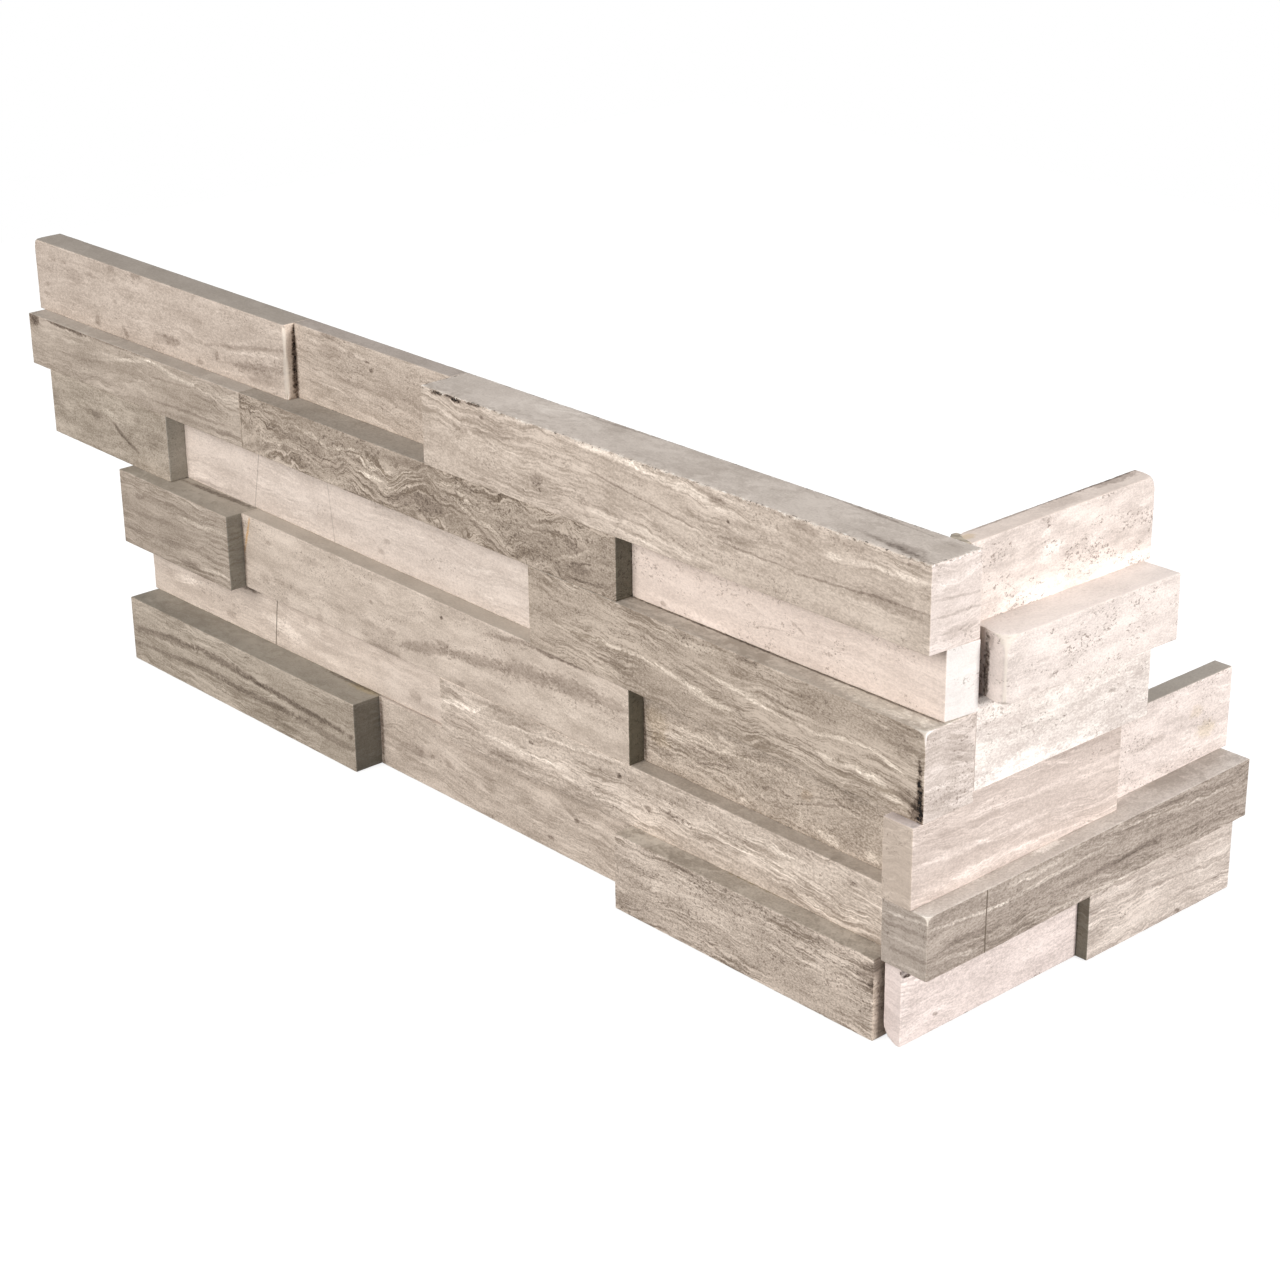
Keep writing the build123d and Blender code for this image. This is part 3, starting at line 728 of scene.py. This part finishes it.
# Grey taupe with even stripes
STONES["row4_end_strip"] = dict(
    place=("long", 4, 327.3, 398.8, 24.8),
    look=dict(
        tone=(166, 152, 138), end=(.93, 1.04, 1.09), swing=28, fine=1, broad=.8, wave=.7, grain=1, pale=.6,
        dark=.5, mottle=.8, top=(1.04, 1.12, 1.16),
    ),
    # The top mark is painted shadow along the foot of the row 3 middle strip.
    top=[(-349.1, -12.9, 23.7, 1.4, .42, 3)],
    front=[
        (-355.7, 76.4, 26.9, 1, 1.28, 2), (-340.3, 69.7, 15.4, 1.1, 1.35, 1),
        (-337.5, 52.6, 11.9, 1, 1.39, 4), (-355.4, 54.9, 31.3, 1.1, 1.15, 2), (-385.2, 70.1, 3.4, 1.3, .66),
        (-353.8, 51.6, 6.7, 1.7, .73), (-373.7, 56.6, 25.8, 1, .79, 4), (-371.4, 63.9, 32.4, 1.1, .84, 3),
        (-337.5, 75.5, 10.3, 2.4, .89),
    ],
)

# Beige and speckled, crossed by one dark wavy band
STONES["row4_middle_strip"] = dict(
    place=("long", 4, 115.4, 327.3, 18.1),
    # The dark end tint is painted shade on its end, deep in the slot under the row 3 corner strip.
    look=dict(
        tone=(201, 186, 172), end=(.38, .41, .37), swing=31, fine=.25, mottle=1.1, grain=.8, specks=.6,
        crowd=.6, pale=.25, dark=.25, top=(.88, .93, .95),
    ),
    # Its first front mark, upright at its far end, is painted shadow beside the row 4 end strip's end.
    front=[
        (-327, 63, 16.4, 1.1, .42, 90), (-218.1, 56.9, 17, 2.4, .62, 12), (-191.4, 60.8, 19.3, 2.4, .66, 6),
        (-166.3, 64.2, 17.2, 3.6, .59, 5), (-142.7, 66, 14.6, 3.6, .66, -4),
        (-124.2, 66.9, 11.8, 2.4, .71, 1), (-123.8, 63, 8.9, 1.9, .83, -1), (-242.8, 48.4, 12.5, 2.3, .64),
        (-238.1, 57, 3.4, 1.5, .75), (-254, 52.2, 2.3, 1.2, .8), (-209.5, 61.2, 4.7, 1, .66, 1),
        (-174, 73.9, 15, 1.1, .71, 10), (-150.8, 74.5, 16.6, .9, .42), (-142.1, 76.7, 16.8, 2.4, .89, 4),
        (-210, 70.6, 1, .7, .17), (-200.5, 49.3, 2.7, 1.5, .73), (-235.3, 72.4, 4.5, 1.5, .82),
        (-249.5, 64.9, 1.1, .8, .64), (-310.9, 70, 1.9, .8, .69), (-324.1, 70.1, 8.1, .7, (1, .79, .54), 72),
        (-283.8, 70.2, 7.2, 1.6, .84), (-314.4, 55.4, 3.1, 2.4, .82), (-148.8, 55.8, 26.8, 5.1, 1.13),
        (-281, 49.5, 2.4, 2.4, .78),
    ],
    pits=[
        (-288, 70.6, 12, 3.2, .6), (-121.3, 63.4, 3.8, 2.1, .8), (-149.1, 47.5, 3, 1.1, .7),
        (-189.6, 61.5, 31, 4.4, .5), (-262.6, 54.2, 45.6, 7.9, .3),
    ],
)

# Taupe with strongly waved laminae, brownish at its far end
STONES["row4_inner_strip"] = dict(
    place=("long", 4, 0, 115.4, 11.9),
    look=dict(
        tone=(180, 165, 150), swing=39, fine=.8, wave=2.2, ripple=1.1, tilt=.05, pale=.7, dark=.6, grain=1.3,
        specks=.6, crowd=.7,
    ),
    # Its first front mark, upright at its far end, is painted shadow beside the row 4 middle strip's end.
    front=[
        (-114.9, 58.9, 11.7, .8, .37, -87), (-108.9, 63.5, 5.6, 5.2, (.98, .96, .91)),
        (-107.6, 57.7, 4.6, 2.4, (.97, .95, .9)), (-91, 59.7, 5.7, 1, .71, -9),
        (-81.6, 57.9, 9.7, .7, .57, 14), (-83.5, 61.5, 7, .6, .7, 4), (-43, 61.6, 2.5, 2, (.94, .9, .85)),
        (-35.1, 60.6, 13.3, .5, .64, 16), (-22.4, 62.7, 8.1, .7, .64, -5), (-60.5, 58, 13.5, .6, .73, 5),
        (-41.3, 61.1, 10.7, .5, .78, 14), (-15.6, 51.1, 4, 1.6, 1.43), (-32.8, 50.7, 6.3, 1.6, 1.43, -9),
        (-45.3, 52.8, 1.7, 2, 1.35), (-69.2, 75.6, 8.2, 1.6, 1.21, -10), (-93.7, 62.7, 8.5, .7, 1.27, 2),
        (-67.1, 64.6, 16.3, .7, 1.24, 5), (-24.9, 61.9, 15.1, .7, 1.24, 1), (-69.1, 50.4, 2.2, 1, 1.31),
        (-24.5, 51.4, 7.3, 2, .86), (-64.8, 67.1, 8.6, 2, .86),
    ],
    pits=[(-49.8, 70.5, 12.6, 4, .6), (-29, 69.5, 12.1, 3.2, .7), (-24.6, 56.3, 8.1, 3.3, .6)],
)

# Mid beige with pale slanting lines, rebated to pass under the course above
STONES["row4_corner_strip"] = dict(
    place=("return", 4, -24.7, 67.4, 11.6),
    shape=dict(rebate=3.4),
    look=dict(
        tone=(201, 186, 177), end=(.95, .94, .88), swing=20, fine=.8, tilt=.06, sway=6, pale=.6, dark=.35,
        mottle=.8, specks=.5,
    ),
    front=[
        (-8.8, 60.6, 16.4, 1.4, 1.24, -2), (22.2, 59.8, 22.1, 1.2, 1.24, -1),
        (7.4, 52.3, 29.8, 2.3, 1.2, -1), (44.4, 68.2, 28.4, .9, 1.15, 1), (53.5, 65.9, 17.4, .9, 1.15, -3),
        (19.1, 71.5, 13.8, .8, 1.1, -4), (47.7, 77.2, 22.3, 2, .79, -3), (1, 67.4, 20.1, 1.7, .89, -3),
        (41.1, 53.1, 34.3, 1.5, .92, -2),
    ],
    pits=[(12.5, 70.8, 8.8, 2.6, .5)],
)

# Cream with brown-green stains
STONES["row4_return_strip"] = dict(
    place=("return", 4, 67.4, 128, 6.9),
    look=dict(
        tone=(219, 206, 199), dark=.2, pale=.2, mottle=1.2, swing=24, fine=.3, tilt=.08, specks=.7, crowd=.6,
        top=(.69, .7, .65),
    ),
    front=[
        (116.4, 59.4, 5.1, 2.9, (.93, .91, .82)), (110.6, 66.7, 3.5, 2.1, (.96, .94, .88)),
        (91, 63, 5.9, 1.4, .79), (102.1, 55.4, 28.8, 1.2, 1.09, -4), (82.1, 62.8, 7.6, .9, .84, -3),
    ],
    pits=[(83.1, 64.1, 6.9, 2.8, .7), (97.2, 70.9, 5, 1.8, .7)],
)

# Light cream with pale patches, cracked through
STONES["row5_end_strip"] = dict(
    place=("long", 5, 212.8, 399.5, 12.6),
    look=dict(tone=(212, 197, 184), swing=22, fine=.4, mottle=1.2, pale=.35, dark=.25, specks=.5),
    # Its first front mark, just under its top by the row 4 end strip's end, is painted shadow.
    front=[
        (-333.4, 44.2, 6.8, 1.1, .42, -2), (-312.7, 34.7, 12.1, 3.2, 1.31, -8),
        (-306.7, 40.3, 4.4, 2.9, 1.1), (-293.7, 40.2, 6.1, 2.8, 1.15), (-375.5, 36, 6.2, 2.2, 1.24),
        (-282.4, 30.3, 9.7, 1.6, 1.15), (-346.6, 29.6, 3.3, 1.7, .74), (-388.1, 35.4, 3.5, 1.7, .82),
        (-297.9, 41.3, 1.9, 1.6, .79), (-256.6, 39.1, 2.9, 1.2, .86), (-375.8, 38.1, 23.6, .9, .91, 3),
        (-278.2, 34.8, 30.3, 1, .92, 5), (-234, 32.8, 4, 2, .79), (-228.5, 30.4, 10.1, 2, .89),
    ],
    pits=[(-347.9, 30.5, 5.3, 1.7, .7)],
    cracks=[(-317, 36.2, .145, .9)],
)

# Beige laminae with lines of dark pits
STONES["row5_middle_strip"] = dict(
    place=("long", 5, 0, 212.8, 17.9),
    look=dict(
        tone=(197, 182, 168), swing=39, fine=1, sway=8, wave=1.2, tilt=.03, pale=.7, dark=.4, specks=.6,
        crowd=.5, top=(.83, .86, .87),
    ),
    front=[
        (-74.1, 48.4, 7.5, .7, .37, 3), (-202.9, 40.7, 10.9, 1.3, 1.44, 6),
        (-189.7, 44.4, 6.7, .8, 1.23, 35), (-182.8, 46.5, 11.1, 1, .75, 2), (-200.9, 34.1, 13.2, 3, .76, 2),
        (-205.4, 44, 4.9, 1.5, .77), (-172.7, 34.9, 29.7, .8, 1.37, 1), (-163, 42.9, 24.3, .6, 1.35, 5),
        (-130, 46.5, 24.4, .7, 1.28, 7), (-96.7, 48.5, 17.1, .9, 1.15, -1), (-180.5, 29.8, 12.4, 2, .74, -1),
        (-142.8, 44.3, 23.6, .9, .82, 6), (-167.3, 45.8, 16.2, 2.4, .87, 8), (-120.6, 42.6, 1.4, .9, .49),
        (-106.9, 35.7, 1.9, 1.1, .49), (-164.3, 39.8, 1.5, .6, .49), (-95.7, 37, 5.5, 1.8, .79),
        (-43.4, 38.8, 29, 5.4, 1.12), (-115.6, 30.5, 18.9, 3.6, 1.13), (-68.4, 40.7, 15.7, 1.4, .92, -16),
        (-57.4, 42.1, 22.6, .7, 1.15, 1), (-45.8, 33.3, 24.1, .6, .91, 8), (-17.7, 43.2, 2.4, .7, .61),
        (-137.6, 28.9, 15.6, 1.2, .86, 8),
    ],
    pits=[
        (-164.3, 39.8, 2.1, .7, .9), (-139.1, 40.8, 2, 1.1, .9), (-129.3, 41.3, 2.4, 1.1, .9),
        (-120.6, 42.6, 1.9, 1.4, .95), (-115.8, 42.8, 1.9, 1.1, .9), (-106.9, 35.7, 2.4, 1.4, .95),
        (-96.6, 41.5, 3.7, 1.8, .8), (-92, 37.2, 7.3, 2.5, .9), (-134.9, 34.4, 7.8, 2.2, .7),
        (-82.9, 33.6, 3.6, 1.7, .7), (-17.7, 43.2, 3.2, 1, .9), (-38, 42.2, 2.5, 1, .8),
    ],
)

# Dark grey taupe, strongly striped, cracked through near the corner
STONES["row5_corner_strip"] = dict(
    place=("return", 5, -24.2, 125.5, 17.9),
    shape=dict(
        arrises={"near front": (.6, 3, 1.3), "front top": (.4, 2, .9), "near top": (.6, 2.5, 1.2)},
        corners=(((0, 1, 1), 1.6, 3),),
    ),
    look=dict(
        tone=(154, 141, 130), end=(1.25, 1.28, 1.3), mottle=.7, swing=32, broad=.6, fine=.8, wave=.8, sway=6,
        tilt=.03, pale=.8, dark=.5, grain=1.2, specks=.5, crowd=.5, top=(1.85, 2.02, 2.18),
    ),
    front=[
        (-7, 42.1, 17.4, .6, 1.55, -5), (29.6, 42, 28.1, .8, 1.55, 3), (22.3, 46.1, 13.9, 1.2, 1.43, 1),
        (88.5, 45, 27.8, .9, 1.51, -4), (17, 31.6, 33.6, .7, 1.31, -5), (73.2, 28.9, 36.1, 1, 1.45),
        (59.3, 25.4, 41.4, .6, 1.31), (-8.6, 30.7, 12.3, .8, 1.35, -10), (72.1, 37, 23.9, 1, .71, 3),
        (54.1, 49.9, 14.5, 1.9, .77, 1), (-4.5, 35.4, 14.9, 1.1, .77, -6), (79.2, 35.9, 1.5, .6, .74),
        (53.1, 36, 23.3, 1.3, .77),
    ],
    end=[
        (9.6, 44.9, 9.6, .5, 1.35, 5), (9.7, 41.3, 9.6, .8, .74, 2), (9.8, 37.3, 9.6, .6, 1.31, 4),
        (10.2, 33.4, 9.4, .8, .74, 2), (10.5, 29.3, 9.2, .6, 1.23, 5),
    ],
    top=[
        (33.6, 12, 6.8, 2.1, 1.55), (103.8, 9.4, 21.4, 5.3, .82), (49.2, 10.4, 5.2, 2.1, .82),
        (3.1, 9.5, 9.9, 2.9, 1.15), (75.1, 6.7, 6.4, 1.8, 1.17), (15.6, 10, 3.3, 1.7, 1.26),
        (93, 4.2, 3.7, 1.3, 1.26),
    ],
    cracks=[(.9, 37.4, .012, 1)],
)

# Taupe, with dark stripes along its middle
STONES["row6_end_strip"] = dict(
    place=("long", 6, 254.1, 398.1, 25.1),
    # The dark end tint is painted shade on its end in the step beside the row 6 middle strip.
    look=dict(
        tone=(171, 158, 143), end=(.64, .7, .73), swing=32, fine=.9, wave=.8, pale=.4, dark=.4,
        top=(.83, .89, .93),
    ),
    # The first top mark is painted shadow along the foot of the row 5 end strip; the tinted one is glue.
    top=[(-269.6, -13, 17.3, 1.2, .49, 1), (-262.2, -13.7, 8.9, 2, (1.07, 1, .82), 3)],
    front=[
        (-375, 15.3, 27.9, 1.8, .52, 5), (-332.2, 17, 26.8, 1.9, .52, -2), (-287, 14.6, 38.9, 1.3, .42, -3),
        (-365.7, 9.3, 35.3, 1.1, .61, 4), (-313.7, 9.9, 29.5, 1.5, .52, 1),
        (-273.7, 8.9, 24.8, 1.5, .64, -2), (-365.2, 15.6, 25.8, .7, 1.21, 4), (-319, 14.3, 32, .8, 1.21, -1),
        (-284.3, 9.1, 33.6, .9, 1.18, -1),
    ],
)

# Beige and mottled
STONES["row6_middle_strip"] = dict(
    place=("long", 6, 114.9, 254.1, 13.7),
    look=dict(
        tone=(192, 177, 163), swing=33, fine=.6, mottle=1.2, tilt=.03, pale=.3, dark=.3, specks=.5, crowd=.5,
    ),
    # Its first front mark, upright at its far end, is painted shadow beside the row 6 end strip's end.
    front=[
        (-253, 13.8, 15.4, 1.2, .37, 90), (-230.6, 12.5, 15.1, 2.3, .77, 7), (-231.1, 12.1, 3.4, 1.6, .7),
        (-197.5, 21.5, 27, 1, .82, 2), (-170.8, 21.4, 19.5, 1, .89, 3), (-214.2, 12.9, 2.8, 1.6, .73),
        (-223.7, 12.7, 1.7, .8, .64), (-146.7, 16, 1.5, 1.1, .49), (-160.4, 4.3, 1.6, .8, .49),
        (-150.2, 18.1, 6.8, 1, .75, -24), (-209.8, -1, 27.9, 1, .91, 6), (-154.8, 31.5, 12.1, 1.9, .91),
    ],
    pits=[(-198.7, -6.7, 21.6, 4.8, .4)],
)

# Striped taupe with specks, dark at its lower corner
STONES["row6_inner_strip"] = dict(
    place=("long", 6, 1.3, 114.9, 25.5),
    look=dict(
        tone=(181, 166, 152), end=(1, 1, 1), swing=46, fine=1.2, wave=1, grain=1.2, pale=.5, dark=.5,
        specks=.7, crowd=.7, top=(.99, 1.05, 1.07),
    ),
    top=[(-47.4, -16.6, 23.2, 1.3, (.77, .72, .58), 3)],
    front=[
        (-79.1, 18.8, 38.1, .9, .79, 3), (-71.2, 26.2, 38.8, .9, .82, 1), (-69.5, 27.5, 6.2, 2.8, 1.24),
        (-36.2, 15, 36.9, .9, 1.15, 4), (-62.3, 19.3, 38.4, .8, 1.13, 2), (-2.6, 21.8, 5.6, 4.6, .55),
        (1.5, 18.6, 4.8, 2.6, .55), (-18.9, 25.2, 12.2, 2, .84),
    ],
    pits=[(-97.9, 19.4, 9.3, 3.6, .8), (-74.9, 23.7, 11.6, 4.2, .8), (-48.4, 23.6, 12.8, 4.1, .7)],
)

# Light cream and nearly plain, one foot corner rounded off
STONES["row6_corner_strip"] = dict(
    place=("return", 6, -22.2, 57.6, 6.6),
    shape=dict(corners=(((0, 0, 0), 3, 4),)),
    look=dict(
        tone=(218, 204, 198), end=(1.04, 1.03, 1.03), swing=28, fine=.5, mottle=.9, pale=.25, dark=.25,
        specks=.4, crowd=.3,
    ),
    # The darkest front mark at its near end and both end marks are painted shadow in the gap under the row 5
    # corner strip's near corner.
    front=[(-19.7, 23.4, 2.1, .6, .02), (-6.9, 4.9, 1.1, .7, .49), (6.6, .1, 1.1, .7, .44)],
    end=[(7.1, 24.8, 1, .7, .14), (8.5, 24.5, 1.9, 1.6, .04)],
    pits=[(38.6, .7, 2.4, 1.4, .8)],
)

# Light taupe with fine wavy brown lines, its far foot edge rounded
STONES["row6_return_strip"] = dict(
    place=("return", 6, 57.6, 129, 11),
    shape=dict(arrises={"far bottom": (2.6, .6, .6)}),
    # The dark end tint is painted shade on its end, under the row 5 corner strip's overhang.
    look=dict(
        tone=(195, 182, 172), end=(.52, .56, .51), swing=32, fine=1, wave=1, ripple=1, pale=.6, dark=.7,
        specks=.5,
    ),
    front=[
        (92.6, 20.8, 37.6, .8, .76, -4), (92, 15.1, 39.5, .6, .79, -6), (96.1, 23, 36.1, .6, .82, -4),
        (82.6, 5.2, 26.7, .9, 1.15, -7), (92, 2.7, 40.6, 1.3, 1.12, -1), (102.6, .9, 1.5, .8, .49),
        (99.8, 26.2, 29.2, .9, 1.15, -5), (61.2, 7.8, 3.9, 3.6, .86),
    ],
    pits=[(74.1, 10.4, 4.5, 2.2, .8)],
)

for seed, (name, made) in enumerate(STONES.items(), 11):
    piece = stone(name, *made["place"], seed, **made.get("shape", {}))
    piece.data.materials.append(marble("marble_" + name, seed, made))


def glue_lump(name, centre, radii, seed):
    """A lump of set glue in the joint at the wall's corner, in millimetres, inside the panel's box."""
    back, top = 0.02, 152.37
    bm = bmesh.new()
    bmesh.ops.create_icosphere(bm, subdivisions=5, radius=1.0)
    for v in bm.verts:
        swell = 1 + 0.4 * noise.noise(v.co * 1.3 + Vector((seed, 0, 0))) + 0.12 * noise.noise(v.co * 4)
        x, y, z = (c + r * p * swell for c, r, p in zip(centre, radii, v.co))
        v.co = Vector((x, max(y, back), min(z, top))) / 1000
    mesh = bpy.data.meshes.new(name)
    bm.to_mesh(mesh)
    bm.free()
    mesh.polygons.foreach_set("use_smooth", np.ones(len(mesh.polygons), bool))
    lump = placed(name, mesh)
    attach(lump, "root")
    return lump


glue = glue_lump("glue_lump", (3.2, 1.5, 151.2), (4.6, 2.6, 2.6), 3)
paste = Tree("set_glue")
nodes, links = paste.tree.nodes, paste.tree.links
patch = nodes.new("ShaderNodeTexNoise")
patch.inputs["Scale"].default_value = 420
patch.inputs["Detail"].default_value = 6
tint = nodes.new("ShaderNodeValToRGB")
tint.color_ramp.elements[0].position, tint.color_ramp.elements[1].position = 0.38, 0.62
tint.color_ramp.elements[0].color = srgb(150, 138, 122)
tint.color_ramp.elements[1].color = srgb(188, 176, 158)
ridge = nodes.new("ShaderNodeBump")
ridge.inputs["Strength"].default_value = 0.4
ridge.inputs["Distance"].default_value = 0.0003
where = nodes.new("ShaderNodeTexCoord")
links.new(where.outputs["Object"], patch.inputs["Vector"])
links.new(patch.outputs["Fac"], tint.inputs["Fac"])
links.new(patch.outputs["Fac"], ridge.inputs["Height"])
links.new(tint.outputs["Color"], paste.shader.inputs["Base Color"])
links.new(ridge.outputs["Normal"], paste.shader.inputs["Normal"])
paste.shader.inputs["Roughness"].default_value = 0.55
glue.data.materials.append(paste.material)


def area_light(name, place, aim, size, power, colour):
    """A round soft light at a place, facing its aim."""
    lamp = bpy.data.lights.new(name, "AREA")
    lamp.shape = "DISK"
    lamp.size = size
    lamp.energy = power
    lamp.color = colour
    holder = placed(name, lamp)
    z = np.array(place, float) - np.array(aim, float)
    z /= np.linalg.norm(z)
    x = np.cross((0, 0, 1), z)
    x /= np.linalg.norm(x)
    y = np.cross(z, x)
    holder.matrix_world = Matrix([[x[n], y[n], z[n], place[n]] for n in range(3)] + [[0, 0, 0, 1]])


area_light("key", (1.772, 0.40, 0.62), (0.0, 0.05, 0.08), 0.6, 38, (1.0, 0.985, 0.975))
area_light("front_fill", (-0.30, -1.80, 1.05), (-0.2, 0.0, 0.08), 1.7, 43, (1.0, 0.98, 0.96))
area_light("back_fill", (-0.50, 1.40, 1.30), (-0.2, 0.05, 0.1), 1.4, 9, (0.97, 0.985, 1.0))

world = bpy.data.worlds.new("studio")
bpy.context.scene.world = world
world.use_nodes = True
nodes, links = world.node_tree.nodes, world.node_tree.links
rays = nodes.new("ShaderNodeLightPath")
seen = nodes.new("ShaderNodeBackground")
seen.inputs["Color"].default_value = (1, 1, 1, 1)
soft = nodes["Background"]
soft.inputs["Color"].default_value = (0.93, 0.96, 1.0, 1)
soft.inputs["Strength"].default_value = 0.17
choose = nodes.new("ShaderNodeMixShader")
links.new(rays.outputs["Is Camera Ray"], choose.inputs[0])
links.new(soft.outputs[0], choose.inputs[1])
links.new(seen.outputs[0], choose.inputs[2])
links.new(choose.outputs[0], nodes["World Output"].inputs[0])

bpy.ops.mesh.primitive_plane_add(size=1.7, location=(-0.15, 0, -0.0002))
floor = bpy.context.object
floor.name = "floor"
paper = Tree("floor_paper")
paper.shader.inputs["Base Color"].default_value = (0.35, 0.35, 0.35, 1)
paper.shader.inputs["Roughness"].default_value = 0.9
nodes, links = paper.tree.nodes, paper.tree.links
rays = nodes.new("ShaderNodeLightPath")
glow = nodes.new("ShaderNodeEmission")
links.new(paper.math("MULTIPLY", rays.outputs["Is Camera Ray"], 0.80), glow.inputs["Strength"])
both = nodes.new("ShaderNodeAddShader")
links.new(paper.shader.outputs[0], both.inputs[0])
links.new(glow.outputs[0], both.inputs[1])
links.new(both.outputs[0], nodes["Material Output"].inputs[0])
floor.data.materials.append(paper.material)

# The photo's viewpoint; the matrix has the lens's three axes and, last, its place in metres
camera = bpy.data.cameras.new("photo_camera")
camera.sensor_width = 36
camera.lens = 78.43
camera.shift_x, camera.shift_y = 0.0127, 0.0128
camera.clip_start, camera.clip_end = 0.05, 50
holder = placed("photo_camera", camera)
holder.matrix_world = Matrix([
    [0.667, -0.28448, 0.68861, 0.4829],
    [0.74493, 0.27165, -0.60933, -0.5492],
    [-0.01372, 0.91939, 0.39311, 0.4279],
    [0, 0, 0, 1],
])
bpy.context.scene.camera = holder
bpy.context.scene.view_settings.view_transform = "Standard"
